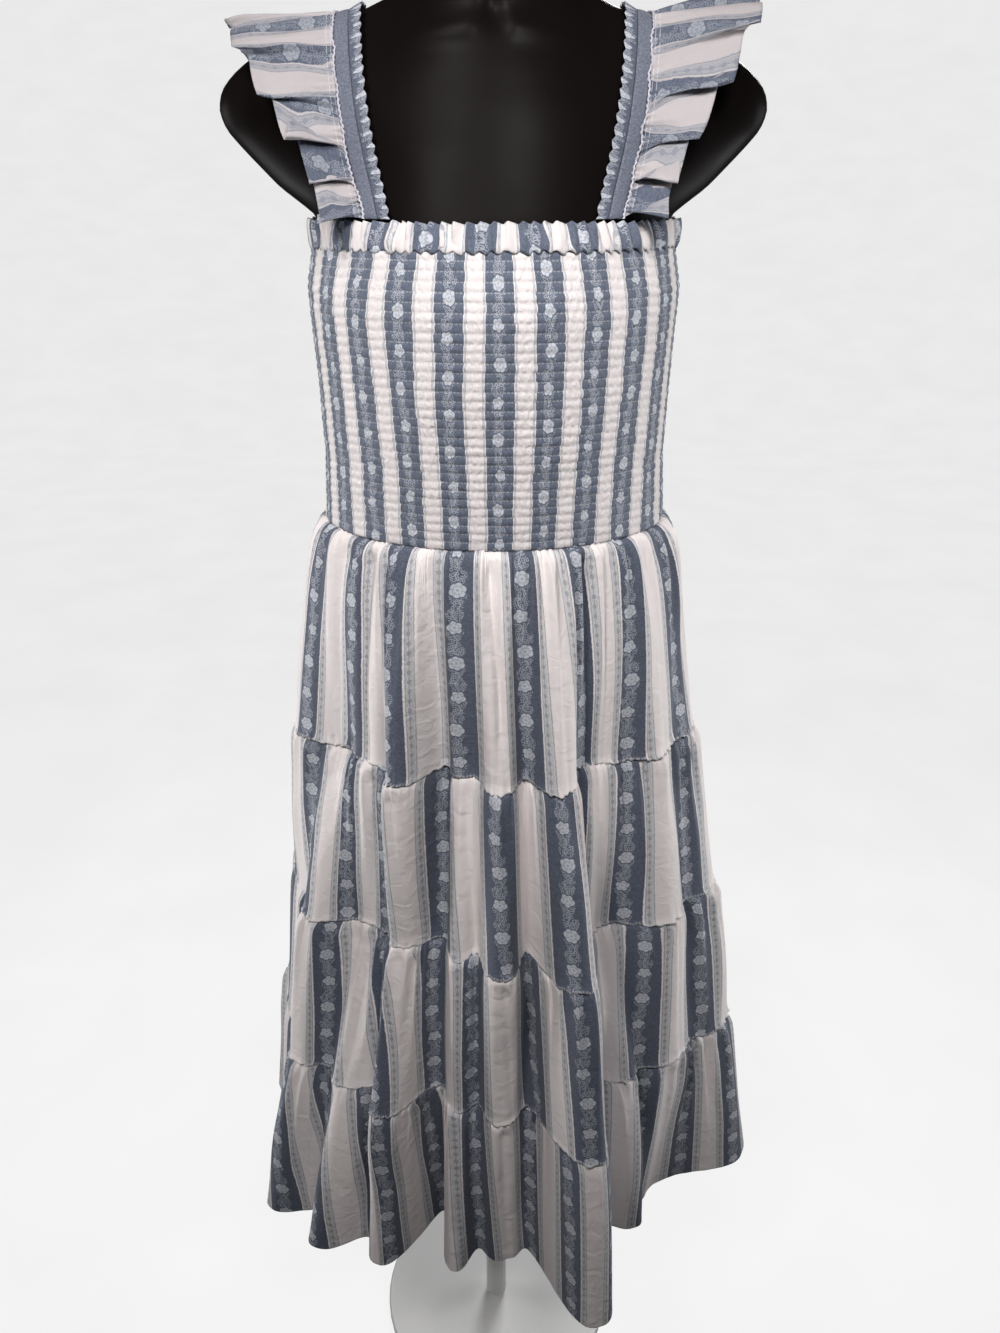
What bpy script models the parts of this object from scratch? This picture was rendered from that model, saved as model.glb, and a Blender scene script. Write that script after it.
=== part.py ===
"""A tiered midi dress with a shirred bodice and flutter straps, on a limbless dress form with its stand.

Metres, +Z up. The front faces -Y, and the origin is on the floor, under the middle of the pole.
An azimuth turns round the Z axis: 0 is the front, 90 degrees is +X.
"""

import math
from collections import namedtuple

import bmesh
import bpy
from mathutils import Vector

# Cloth and seams
CLOTH = 0.0012
SEAM_GAP = 0.0003
BODY_GAP = 0.0010

# Heights of the dress
BAND_TOP = 1.300
BODICE_TOP = 1.281
WAIST = 1.062
TIER_1_SEAM = 0.862
TIER_2_SEAM = 0.690
TIER_3_SEAM = 0.520
HEM = 0.330

# Shirring: rows of elastic thread with a puff between each two
SHIRRING_ROWS = 32
PUFF_RISE = 0.0011
BODICE_WALL = 0.0014
PANEL_FACETS = 16

# Neckline band
BAND_GATHERS = 14
BAND_WAVE = 0.0022

# Skirt tiers: each front or back panel has this many gathers, on 3 points each
TIER_GATHERS = 14
GATHER_POINTS = 3
GATHER_WAVE = 0.0028
GATHER_FADE = 0.45
TIER_PUFF = (0.011, 0.005, 0.005, 0.006)
TIER_ROWS = (0.0, 0.11, 0.32, 0.64, 1.0)

# Straps
STRAP_WIDTH = 0.0105
STRAP_FOOT_X = 0.0875
STRAP_TOP_X = 0.109
STRAP_FACETS = 24
STRAP_WALL = 0.0014
STRAP_CENTRE_Y = 0.008
FRILL_WIDTH = 0.0085
FRILL_GATHERS = 14
FRILL_WAVE = 0.0016
RUFFLE_WAVES = 10
RUFFLE_POINTS = 4
RUFFLE_FOOT_WIDTH = 0.029
RUFFLE_TOP_WIDTH = 0.080
RUFFLE_WAVE = 0.0075
RUFFLE_LIFT = math.radians(14)
RUFFLE_TOP_LIFT = {-1: math.radians(-6), 1: math.radians(3.5)}  # the left one lies lower on the shoulder
RUFFLE_ACROSS = (0.0, 0.3, 0.65, 1.0)

# Stand
BASE_RADIUS = 0.140
BASE_THICKNESS = 0.008
POLE_RADIUS = 0.0125
SHORT_EDGE = 0.0015

Section = namedtuple("Section", "height half_width front back")
FormSection = namedtuple("FormSection", "height half_width front back wing_reach wing_depth")
Fold = namedtuple("Fold", "azimuth spread tier_1 tier_2 tier_3 hem")

# The form is a general figure. The wings are the shoulder ends, which stop where arms would start.
FORM = [
    FormSection(0.760, 0.1440, 0.0840, 0.0990, 0.0, 0.0),
    FormSection(0.775, 0.1520, 0.0900, 0.1060, 0.0, 0.0),
    FormSection(0.830, 0.1600, 0.0980, 0.1140, 0.0, 0.0),
    FormSection(0.880, 0.1615, 0.1000, 0.1150, 0.0, 0.0),
    FormSection(0.950, 0.1520, 0.0985, 0.1060, 0.0, 0.0),
    FormSection(1.000, 0.1360, 0.0940, 0.0950, 0.0, 0.0),
    FormSection(1.050, 0.1225, 0.0900, 0.0870, 0.0, 0.0),
    FormSection(1.120, 0.1280, 0.0980, 0.0860, 0.0, 0.0),
    FormSection(1.180, 0.1380, 0.1120, 0.0920, 0.0, 0.0),
    FormSection(1.235, 0.1435, 0.1225, 0.0980, 0.0, 0.0),
    FormSection(1.281, 0.1385, 0.1110, 0.1010, 0.0, 0.0),
    FormSection(1.300, 0.1345, 0.1010, 0.1020, 0.1100, 0.0400),
    FormSection(1.320, 0.1320, 0.0930, 0.1015, 0.1620, 0.0460),
    FormSection(1.346, 0.1280, 0.0840, 0.0990, 0.1900, 0.0500),
    FormSection(1.360, 0.1235, 0.0800, 0.0970, 0.2030, 0.0500),
    FormSection(1.373, 0.1180, 0.0760, 0.0945, 0.2075, 0.0485),
    FormSection(1.386, 0.1115, 0.0715, 0.0915, 0.2045, 0.0455),
    FormSection(1.397, 0.1040, 0.0680, 0.0880, 0.1945, 0.0420),
    FormSection(1.408, 0.0960, 0.0640, 0.0840, 0.1790, 0.0370),
    FormSection(1.418, 0.0880, 0.0610, 0.0800, 0.1600, 0.0320),
    FormSection(1.428, 0.0790, 0.0575, 0.0745, 0.1280, 0.0270),
    FormSection(1.436, 0.0720, 0.0550, 0.0690, 0.0980, 0.0240),
    FormSection(1.446, 0.0650, 0.0530, 0.0630, 0.0700, 0.0220),
    FormSection(1.465, 0.0590, 0.0520, 0.0570, 0.0, 0.0),
    FormSection(1.505, 0.0560, 0.0520, 0.0545, 0.0, 0.0),
    FormSection(1.515, 0.0520, 0.0480, 0.0505, 0.0, 0.0),
]
FORM_FACETS = 32

# Inside of the bodice, which hangs straighter than the form below the bust
BODICE = [
    Section(1.300, 0.1385, 0.1020, 0.1030),
    Section(1.281, 0.1410, 0.1120, 0.1020),
    Section(1.250, 0.1465, 0.1210, 0.1000),
    Section(1.235, 0.1460, 0.1235, 0.0990),
    Section(1.180, 0.1435, 0.1200, 0.0965),
    Section(1.120, 0.1420, 0.1150, 0.0960),
    Section(1.062, 0.1455, 0.1130, 0.1060),
]

# Outside of the skirt at its seams, before folds
SKIRT = [
    Section(WAIST, 0.1480, 0.1150, 0.1080),
    Section(TIER_1_SEAM, 0.1840, 0.1200, 0.1320),
    Section(TIER_2_SEAM, 0.2050, 0.1340, 0.1500),
    Section(TIER_3_SEAM, 0.2260, 0.1500, 0.1680),
    Section(HEM, 0.2460, 0.1650, 0.1850),
]

# How far each hanging fold stands out from that oval at the seams and the hem. A shape over 2 flattens its crest.
FOLD_SHAPE = 3.0
FOLDS = [
    Fold(-78, 7, 0.010, 0.000, 0.000, 0.004),
    Fold(-62, 6, -0.010, 0.024, 0.030, 0.056),
    Fold(-47, 7, 0.006, -0.004, 0.026, 0.060),
    Fold(-32, 6, 0.034, 0.018, 0.046, 0.046),
    Fold(-22, 4, -0.016, -0.006, -0.006, -0.028),
    Fold(-12, 5, 0.006, 0.026, 0.028, 0.038),
    Fold(2, 7, 0.032, 0.050, 0.036, 0.024),
    Fold(21.5, 8, 0.036, 0.074, 0.090, 0.102),
    Fold(44, 5, 0.000, -0.010, 0.012, 0.020),
    Fold(60, 7, 0.012, 0.020, 0.014, -0.014),
    Fold(78, 8, 0.008, 0.022, 0.030, 0.046),
    Fold(104, 7, 0.010, 0.016, 0.026, 0.044),
    Fold(124, 6, 0.004, 0.022, 0.018, 0.024),
    Fold(142, 7, 0.018, 0.014, 0.034, 0.052),
    Fold(162, 6, 0.000, 0.024, 0.024, 0.030),
    Fold(182, 7, 0.022, 0.020, 0.040, 0.056),
    Fold(201, 6, 0.006, 0.024, 0.022, 0.026),
    Fold(220, 7, 0.018, 0.012, 0.036, 0.050),
    Fold(240, 6, 0.002, 0.022, 0.020, 0.030),
    Fold(258, 7, 0.010, 0.010, 0.016, 0.024),
]


def clear_scene():
    for obj in list(bpy.data.objects):
        bpy.data.objects.remove(obj)


def material(name, colour, roughness, metallic=0.0):
    made = bpy.data.materials.new(name)
    made.use_nodes = True
    shader = made.node_tree.nodes["Principled BSDF"]
    shader.inputs["Base Color"].default_value = (*colour, 1.0)
    shader.inputs["Roughness"].default_value = roughness
    shader.inputs["Metallic"].default_value = metallic
    made.diffuse_color = (*colour, 1.0)
    return made


def mix(low, high, share):
    return low + (high - low) * share


def section_at(table, height):
    """The table's row at this height, with the columns between two rows mixed evenly."""
    rows = sorted(table, key=lambda row: row.height)
    height = min(max(height, rows[0].height), rows[-1].height)
    for low, high in zip(rows, rows[1:]):
        if height <= high.height:
            share = (height - low.height) / (high.height - low.height)
            return type(low)(*[mix(a, b, share) for a, b in zip(low, high)])
    return rows[-1]


def oval_radius(azimuth, half_width, front, back):
    """Distance from the axis to an oval that has its own depth in front and at the back."""
    depth = front if math.cos(azimuth) > 0 else back
    return 1 / math.hypot(math.sin(azimuth) / half_width, math.cos(azimuth) / depth)


def form_ring(azimuth, row):
    """A ring of the form: a trunk and, at the shoulders, a wider and thinner oval, rounded together."""
    trunk = oval_radius(azimuth, row.half_width, row.front, row.back)
    if row.wing_reach * row.wing_depth == 0:
        return trunk
    wing = oval_radius(azimuth, row.wing_reach, row.wing_depth, row.wing_depth)
    rounding = 8
    return (trunk**rounding + wing**rounding) ** (1 / rounding)


def form_radius(azimuth, height):
    """The form's surface between two of its rings."""
    height = min(max(height, FORM[0].height), FORM[-1].height)
    for low, high in zip(FORM, FORM[1:]):
        if height <= high.height:
            share = (height - low.height) / (high.height - low.height)
            return mix(form_ring(azimuth, low), form_ring(azimuth, high), share)
    return form_ring(azimuth, FORM[-1])


def bodice_radius(azimuth, height):
    row = section_at(BODICE, height)
    own = oval_radius(azimuth, row.half_width, row.front, row.back)
    return max(own, form_radius(azimuth, height) + BODY_GAP)


def fold_reach(fold, height):
    stops = [
        (WAIST, 0.0),
        (TIER_1_SEAM, fold.tier_1),
        (TIER_2_SEAM, fold.tier_2),
        (TIER_3_SEAM, fold.tier_3),
        (HEM, fold.hem),
    ]
    for (top, upper), (bottom, lower) in zip(stops, stops[1:]):
        if height >= bottom:
            return mix(upper, lower, (top - height) / (top - bottom))
    return fold.hem


def skirt_radius(azimuth, height):
    """The skirt's outer surface with its hanging folds, and without the gathers of its tiers."""
    row = section_at(SKIRT, height)
    radius = oval_radius(azimuth, row.half_width, row.front, row.back)
    for fold in FOLDS:
        turn = (math.degrees(azimuth) - fold.azimuth + 180) % 360 - 180
        radius += fold_reach(fold, height) * math.exp(-abs(turn / fold.spread) ** FOLD_SHAPE)
    least = form_radius(azimuth, height) + CLOTH + BODY_GAP if height > FORM[0].height else 0
    return max(radius, least)


def on_ring(azimuth, radius, height):
    return Vector((radius * math.sin(azimuth), -radius * math.cos(azimuth), height))


def turn_at_edge(radius):
    """The azimuth that half a seam gap takes at this radius."""
    return SEAM_GAP / 2 / radius


def inset_ring(points, distance):
    """A ring's points moved inwards, level and at right angles to the ring; its two ends keep their azimuth."""
    moved = []
    for i, point in enumerate(points):
        if 0 < i < len(points) - 1:
            along = points[i + 1] - points[i - 1]
            inward = Vector((-along.y, along.x, 0)).normalized()
        else:
            inward = Vector((-point.x, -point.y, 0)).normalized()
        moved.append(point + inward * distance)
    return moved


def add_object(name, mesh, finish, smooth_angle=60):
    mesh.materials.append(finish)
    mesh.shade_smooth()
    mesh.set_sharp_from_angle(angle=math.radians(smooth_angle))
    obj = bpy.data.objects.new(name, mesh)
    parts.objects.link(obj)
    return obj


def add_skin(bm, rows, flipped):
    """Triangles through a grid of vertices, with the same diagonals whichever way the skin faces."""
    for upper, lower in zip(rows, rows[1:]):
        for i in range(len(upper) - 1):
            pair = ((upper[i], lower[i], lower[i + 1]), (upper[i], lower[i + 1], upper[i + 1]))
            for corners in pair:
                bm.faces.new(corners[::-1] if flipped else corners)


def run_shares(line):
    """How far along the line each vertex is, from 0 to 1, with one more that nothing reaches."""
    run = [0.0]
    for before, after in zip(line, line[1:]):
        run.append(run[-1] + (after.co - before.co).length)
    return [step / run[-1] for step in run] + [math.inf]


def close_end(bm, outer, inner):
    """The end of a wall. Shirring puffs are closed one by one, which leaves a plain strip."""
    if len(outer) > len(inner):
        for i in range(0, len(outer) - 2, 2):
            bm.faces.new(outer[i : i + 3])
        outer = outer[::2]
    outer_shares, inner_shares = run_shares(outer), run_shares(inner)
    i, j = 0, 0
    while i + 1 < len(outer) or j + 1 < len(inner):
        if outer_shares[i + 1] <= inner_shares[j + 1]:
            bm.faces.new((outer[i], outer[i + 1], inner[j]))
            i += 1
        else:
            bm.faces.new((outer[i], inner[j + 1], inner[j]))
            j += 1


def wall_object(name, outer, inner, finish):
    """A closed cloth wall lofted through two grids of points. Inner may have fewer rows than outer."""
    bm = bmesh.new()
    out = [[bm.verts.new(p) for p in row] for row in outer]
    back = [[bm.verts.new(p) for p in row] for row in inner]
    add_skin(bm, out, False)
    add_skin(bm, back, True)
    add_skin(bm, [back[0], out[0]], False)
    add_skin(bm, [out[-1], back[-1]], False)
    for side in (0, -1):
        close_end(bm, [row[side] for row in out], [row[side] for row in back])
    bmesh.ops.recalc_face_normals(bm, faces=bm.faces)
    mesh = bpy.data.meshes.new(name)
    bm.to_mesh(mesh)
    bm.free()
    return add_object(name, mesh, finish)


def closed_loft(name, rings, finish):
    """A closed solid through rings of equal count, with flat ends."""
    bm = bmesh.new()
    made = [[bm.verts.new(p) for p in ring] for ring in rings]
    for lower, upper in zip(made, made[1:]):
        for i in range(len(lower)):
            j = (i + 1) % len(lower)
            bm.faces.new((lower[i], lower[j], upper[j], upper[i]))
    bm.faces.new(made[0][::-1])
    bm.faces.new(made[-1])
    bmesh.ops.recalc_face_normals(bm, faces=bm.faces)
    mesh = bpy.data.meshes.new(name)
    bm.to_mesh(mesh)
    bm.free()
    return add_object(name, mesh, finish)


def even_turns(start_deg, facets, radius):
    """Azimuths over half a turn in equal steps, drawn back at both ends by half a seam gap."""
    start = math.radians(start_deg)
    turns = [start + math.pi * i / facets for i in range(facets + 1)]
    turns[0] += turn_at_edge(radius)
    turns[-1] -= turn_at_edge(radius)
    return turns


def make_form(finish):
    rings = []
    for row in FORM:
        turns = [2 * math.pi * i / FORM_FACETS for i in range(FORM_FACETS)]
        rings.append([on_ring(a, form_ring(a, row), row.height) for a in turns])
    return closed_loft("form_torso", rings, finish)


def make_bodice_panel(name, start_deg, finish):
    """A shirred panel: a plain inside, and an outside that puffs out between the elastic rows."""
    turns = even_turns(start_deg, PANEL_FACETS, BODICE[-1].half_width)
    bottom = WAIST + SEAM_GAP / 2
    top = BODICE_TOP - SEAM_GAP / 2
    outer = []
    for step in range(2 * SHIRRING_ROWS + 1):
        height = mix(top, bottom, step / (2 * SHIRRING_ROWS))
        rise = BODICE_WALL + PUFF_RISE * (step % 2)
        outer.append([on_ring(a, bodice_radius(a, height) + rise, height) for a in turns])
    heights = [top] + [row.height for row in BODICE if bottom < row.height < top] + [bottom]
    inner = [[on_ring(a, bodice_radius(a, h), h) for a in turns] for h in heights]
    return wall_object(name, outer, inner, finish)


def make_band_panel(name, start_deg, finish):
    """The gathered heading above the shirring, fluted all along."""
    facets = BAND_GATHERS * GATHER_POINTS
    turns = even_turns(start_deg, facets, BODICE[0].half_width)
    middle = mix(BODICE_TOP, BAND_TOP, 0.45)
    levels = ((BAND_TOP, 1.0, 0.0020), (middle, 0.8, 0.0030), (BODICE_TOP, 0.3, 0.0008))
    outer = []
    for level, share, stand in levels:
        height = level + (SEAM_GAP / 2 if level == BODICE_TOP else 0)
        row = []
        for i, a in enumerate(turns):
            wave = BAND_WAVE * share * (1 + math.cos(2 * math.pi * i / GATHER_POINTS))
            row.append(on_ring(a, bodice_radius(a, height) + CLOTH + stand + wave, height))
        outer.append(row)
    inner = [inset_ring(row, CLOTH) for row in outer]
    return wall_object(name, outer, inner, finish)


def cloth_turns(start_deg, facets):
    """Azimuths that share out the hem's real length evenly, so that deep folds get enough points."""
    fine = 720
    start = math.radians(start_deg)
    turns = [start + math.pi * i / fine for i in range(fine + 1)]
    points = [on_ring(a, skirt_radius(a, HEM), HEM) for a in turns]
    run = [0.0]
    for before, after in zip(points, points[1:]):
        run.append(run[-1] + (after - before).length + 0.004 * math.pi / fine)
    found = []
    index = 0
    for k in range(facets + 1):
        target = run[-1] * k / facets
        while index < fine - 1 and run[index + 1] < target:
            index += 1
        share = (target - run[index]) / (run[index + 1] - run[index])
        found.append(mix(turns[index], turns[index + 1], min(max(share, 0), 1)))
    found[0] += turn_at_edge(SKIRT[0].half_width)
    found[-1] -= turn_at_edge(SKIRT[0].half_width)
    return found


def make_tier_panel(name, tier, start_deg, finish):
    """One panel of a tier, gathered along its top edge into the tier above."""
    top = SKIRT[tier].height - SEAM_GAP / 2
    bottom = SKIRT[tier + 1].height + (SEAM_GAP / 2 if tier < 3 else 0)
    facets = TIER_GATHERS * GATHER_POINTS
    turns = cloth_turns(start_deg, facets)
    outer = []
    for share in TIER_ROWS:
        height = mix(top, bottom, share)
        puff = TIER_PUFF[tier] * math.sin(math.pi * share**0.45)
        fade = math.exp(-share / GATHER_FADE) * (1 - share)
        row = []
        for i, a in enumerate(turns):
            edge = min(i, facets - i, 3) / 3
            wave = GATHER_WAVE * fade * edge * math.cos(2 * math.pi * i / GATHER_POINTS)
            row.append(on_ring(a, skirt_radius(a, height) + puff + wave, height))
        outer.append(row)
    inner = [inset_ring(row, CLOTH) for row in outer]
    return wall_object(name, outer, inner, finish)


def inside_form(point):
    azimuth = math.atan2(point.x, -point.y)
    return point.z < FORM[-1].height and math.hypot(point.x, point.y) < form_radius(azimuth, point.z)


def shoulder_reach(x, sweep):
    """How far the form's surface is from the strap feet's line, in this sweep's direction."""
    centre = Vector((x, STRAP_CENTRE_Y, BAND_TOP))
    outward = Vector((0, -math.cos(sweep), math.sin(sweep)))
    near, far = 0.0, 0.25
    for _ in range(24):
        middle = (near + far) / 2
        if inside_form(centre + outward * middle):
            near = middle
        else:
            far = middle
    return far


def over_shoulder(x, sweep, gap):
    """A point above the form on a line over the shoulder: sweep 0 is the front foot, pi is the back foot."""
    near = [(x + dx, sweep + turn) for dx in (-0.003, 0.003) for turn in (-0.08, 0.0, 0.08)]
    reach = max(shoulder_reach(*place) for place in near)
    outward = Vector((0, -math.cos(sweep), math.sin(sweep)))
    point = Vector((x, STRAP_CENTRE_Y, BAND_TOP + SEAM_GAP)) + outward * (reach + gap)
    return point, outward


def strap_middle(sweep):
    return mix(STRAP_FOOT_X, STRAP_TOP_X, math.sin(sweep))


def mirrored(rows, side):
    """The +X strap's points, or the same rows turned over to the -X side."""
    if side > 0:
        return rows
    return [[Vector((-p.x, p.y, p.z)) for p in row] for row in rows]


def make_strap(name, side, finish):
    """The elastic strip that runs from the front band over the shoulder to the back band."""
    across = (-0.5, 0.0, 0.5)
    sweeps = [math.pi * i / STRAP_FACETS for i in range(STRAP_FACETS + 1)]
    outer = []
    inner = []
    for share in across:
        upper, under = [], []
        for sweep in sweeps:
            point, outward = over_shoulder(strap_middle(sweep) + share * STRAP_WIDTH, sweep, BODY_GAP)
            under.append(point)
            upper.append(point + outward * STRAP_WALL)
        outer.append(upper)
        inner.append(under)
    return wall_object(name, mirrored(outer, side), mirrored(inner, side), finish)


def make_frill(name, side, finish):
    """The narrow gathered edge on the neck side of a strap."""
    facets = FRILL_GATHERS * 3
    outer, inner = [], []
    for share in (0.0, 1.0):
        upper, under = [], []
        for i in range(facets + 1):
            sweep = math.pi * i / facets
            x = strap_middle(sweep) - STRAP_WIDTH / 2 - SEAM_GAP - share * FRILL_WIDTH
            lift = share * FRILL_WAVE * (1.2 + math.cos(2 * math.pi * i / 3))
            point, outward = over_shoulder(x, sweep, BODY_GAP + lift)
            under.append(point)
            upper.append(point + outward * CLOTH)
        outer.append(upper)
        inner.append(under)
    return wall_object(name, mirrored(outer, side), mirrored(inner, side), finish)


def make_ruffle(name, side, finish):
    """The flutter ruffle on the arm side: narrow at the feet, widest on the shoulder, waved at its free edge."""
    facets = RUFFLE_WAVES * RUFFLE_POINTS
    outer, inner = [], []
    for share in RUFFLE_ACROSS:
        upper, under = [], []
        for i in range(facets + 1):
            sweep = math.pi * i / facets
            edge_x = strap_middle(sweep) + STRAP_WIDTH / 2 + SEAM_GAP
            point, outward = over_shoulder(edge_x, sweep, BODY_GAP)
            width = mix(RUFFLE_FOOT_WIDTH, RUFFLE_TOP_WIDTH, math.sin(sweep) ** 3)
            lift = mix(RUFFLE_LIFT, RUFFLE_TOP_LIFT[side], math.sin(sweep) ** 2)
            wave = RUFFLE_WAVE * share * (1 + math.sin(2 * math.pi * i / RUFFLE_POINTS))
            sideways = Vector((math.cos(lift), 0, 0)) + outward * math.sin(lift)
            held = point + sideways * width * share + outward * wave
            under.append(held)
            upper.append(held + outward * CLOTH)
        outer.append(upper)
        inner.append(under)
    return wall_object(name, mirrored(outer, side), mirrored(inner, side), finish)


def make_cylinder(name, radius, bottom, top, sides, finish):
    bpy.ops.mesh.primitive_cylinder_add(
        vertices=sides, radius=radius, depth=top - bottom, location=(0, 0, (top + bottom) / 2)
    )
    obj = bpy.context.object
    obj.name = name
    obj.data.name = name
    obj.data.materials.append(finish)
    for collection in obj.users_collection:
        collection.objects.unlink(obj)
    parts.objects.link(obj)
    bevel = obj.modifiers.new("Rounded rim", "BEVEL")
    bevel.width = SHORT_EDGE
    bevel.segments = 1
    bevel.limit_method = "ANGLE"
    obj.data.shade_smooth()
    obj.data.set_sharp_from_angle(angle=math.radians(40))
    return obj


clear_scene()
parts = bpy.data.collections.new("Tiered midi dress on a dress form")
bpy.context.scene.collection.children.link(parts)

striped_cotton = material("Striped cotton", (0.42, 0.45, 0.52), 0.85)
strap_cotton = material("Blue stripe cotton", (0.17, 0.20, 0.28), 0.85)
black_plastic = material("Black moulded plastic", (0.012, 0.012, 0.013), 0.35)
coated_steel = material("Powder-coated steel", (0.78, 0.78, 0.77), 0.5)

FRONT, BACK = -90, 90
for half, start in (("front", FRONT), ("back", BACK)):
    make_band_panel(f"neck_band_{half}", start, striped_cotton)
    make_bodice_panel(f"bodice_{half}", start, striped_cotton)
    for tier_number in range(4):
        make_tier_panel(f"tier_{tier_number + 1}_{half}", tier_number, start, striped_cotton)

for hand, side in (("left", -1), ("right", 1)):
    make_strap(f"strap_{hand}", side, strap_cotton)
    make_frill(f"strap_frill_{hand}", side, strap_cotton)
    make_ruffle(f"strap_ruffle_{hand}", side, striped_cotton)

make_form(black_plastic)
make_cylinder("stand_base", BASE_RADIUS, 0.0, BASE_THICKNESS, 48, coated_steel)
make_cylinder("stand_pole", POLE_RADIUS, BASE_THICKNESS + SEAM_GAP, FORM[0].height - SEAM_GAP, 16, coated_steel)
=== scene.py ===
import bpy
import math
import numpy as np
from functools import partial
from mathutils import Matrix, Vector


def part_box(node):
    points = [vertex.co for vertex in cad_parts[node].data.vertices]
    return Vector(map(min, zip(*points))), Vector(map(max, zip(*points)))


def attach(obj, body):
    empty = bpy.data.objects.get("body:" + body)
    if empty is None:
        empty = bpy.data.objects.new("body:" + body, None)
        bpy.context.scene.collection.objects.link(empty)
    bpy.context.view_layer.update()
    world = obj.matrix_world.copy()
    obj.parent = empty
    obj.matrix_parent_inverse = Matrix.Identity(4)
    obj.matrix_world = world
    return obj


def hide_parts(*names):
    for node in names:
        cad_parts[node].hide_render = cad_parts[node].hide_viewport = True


# Tiered midi dress in striped cotton, on a black dress form. Metres, front faces -Y.
# An azimuth is 0 at the front and grows towards +X.

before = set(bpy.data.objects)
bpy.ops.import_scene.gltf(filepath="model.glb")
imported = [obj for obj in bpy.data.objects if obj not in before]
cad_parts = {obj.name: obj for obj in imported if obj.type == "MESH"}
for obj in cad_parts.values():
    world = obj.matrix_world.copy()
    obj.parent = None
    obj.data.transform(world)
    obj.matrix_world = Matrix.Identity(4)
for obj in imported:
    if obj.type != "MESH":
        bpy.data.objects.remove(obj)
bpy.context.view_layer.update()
print("frame loaded:", len(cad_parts), "nodes")

# Seam heights come from the frame
seams = {
    "bandTop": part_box("neck_band_front")[1].z,
    "bodiceTop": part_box("bodice_front")[1].z,
    "waist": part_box("tier_1_front")[1].z,
    "tier1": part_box("tier_2_front")[1].z,
    "tier2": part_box("tier_3_front")[1].z,
    "tier3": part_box("tier_4_front")[1].z,
    "hem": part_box("tier_4_front")[0].z,
}

# The form's rings in mm: height, half width, front, back, then reach and depth of the shoulder ends
formRings = np.array([
    (760, 144, 84, 99, 0, 0),
    (775, 152, 90, 106, 0, 0),
    (830, 160, 98, 114, 0, 0),
    (880, 161.5, 100, 115, 0, 0),
    (950, 152, 98.5, 106, 0, 0),
    (1000, 136, 94, 95, 0, 0),
    (1050, 122.5, 90, 87, 0, 0),
    (1120, 128, 98, 86, 0, 0),
    (1180, 138, 112, 92, 0, 0),
    (1235, 143.5, 122.5, 98, 0, 0),
    (1281, 138.5, 111, 101, 0, 0),
    (1300, 134.5, 101, 102, 110, 40),
    (1320, 132, 93, 101.5, 162, 46),
    (1346, 128, 84, 99, 190, 50),
    (1360, 123.5, 80, 97, 203, 50),
    (1373, 118, 76, 94.5, 207.5, 48.5),
    (1386, 111.5, 71.5, 91.5, 204.5, 45.5),
    (1397, 104, 68, 88, 194.5, 42),
    (1408, 96, 64, 84, 179, 37),
    (1418, 88, 61, 80, 160, 32),
    (1428, 79, 57.5, 74.5, 128, 27),
    (1436, 72, 55, 69, 98, 24),
    (1446, 65, 53, 63, 70, 22),
    (1465, 59, 52, 57, 0, 0),
    (1505, 56, 52, 54.5, 0, 0),
    (1515, 52, 48, 50.5, 0, 0),
]) / 1000

# Inside of the bodice in mm: height, half width, front, back
bodiceRings = np.array([
    (1062, 145.5, 113, 106),
    (1120, 142, 115, 96),
    (1180, 143.5, 120, 96.5),
    (1235, 146, 123.5, 99),
    (1250, 146.5, 121, 100),
    (1281, 141, 112, 102),
    (1300, 138.5, 102, 103),
]) / 1000

# Outside of the skirt at its seams before it folds: height, half width, front, back
skirtRings = np.array([
    (seams["hem"], 0.2460, 0.1650, 0.1850),
    (seams["tier3"], 0.2260, 0.1500, 0.1680),
    (seams["tier2"], 0.2050, 0.1340, 0.1500),
    (seams["tier1"], 0.1840, 0.1200, 0.1320),
    (seams["waist"], 0.1480, 0.1150, 0.1080),
])

# Hanging folds: azimuth and spread in degrees, then reach in mm at the tier seams and the hem
skirtFolds = [
    (-78, 7, 10, 0, 0, 4),
    (-62, 6, -10, 24, 30, 56),
    (-47, 7, 6, -4, 26, 60),
    (-32, 6, 34, 18, 46, 46),
    (-22, 4, -16, -6, -6, -28),
    (-12, 5, 6, 26, 28, 38),
    (2, 7, 32, 50, 36, 24),
    (21.5, 8, 36, 74, 90, 102),
    (44, 5, 0, -10, 12, 20),
    (60, 7, 12, 20, 14, -14),
    (78, 8, 8, 22, 30, 46),
    (104, 7, 10, 16, 26, 44),
    (124, 6, 4, 22, 18, 24),
    (142, 7, 18, 14, 34, 52),
    (162, 6, 0, 24, 24, 30),
    (182, 7, 22, 20, 40, 56),
    (201, 6, 6, 24, 22, 26),
    (220, 7, 18, 12, 36, 50),
    (240, 6, 2, 22, 20, 30),
    (258, 7, 10, 10, 16, 24),
]

panelStarts = {"front": -90, "back": 90}  # each panel runs over half a turn from here
clothThickness = 0.0007
pieceGap = 0.0003  # air between neighbouring pieces


# Shapes shared by the pieces

def blendTo(low, high, share):
    return low + (high - low) * share


def smoothStep(x):
    x = np.clip(x, 0, 1)
    return x * x * (3 - 2 * x)


noiseCells = 97  # the noise repeats after this many units


def softNoise(x, y, seed):  # smooth noise from -1 to 1 on a grid one unit wide
    grid = np.random.default_rng(seed).uniform(-1, 1, (noiseCells, noiseCells))
    x, y = np.broadcast_arrays(np.asarray(x, float), np.asarray(y, float))
    left, low = np.floor(x).astype(int), np.floor(y).astype(int)
    fx, fy = smoothStep(x - left), smoothStep(y - low)
    left, low, right, high = (cell % noiseCells for cell in (left, low, left + 1, low + 1))
    alongLow = blendTo(grid[left, low], grid[right, low], fx)
    alongHigh = blendTo(grid[left, high], grid[right, high], fx)
    return blendTo(alongLow, alongHigh, fy)


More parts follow.
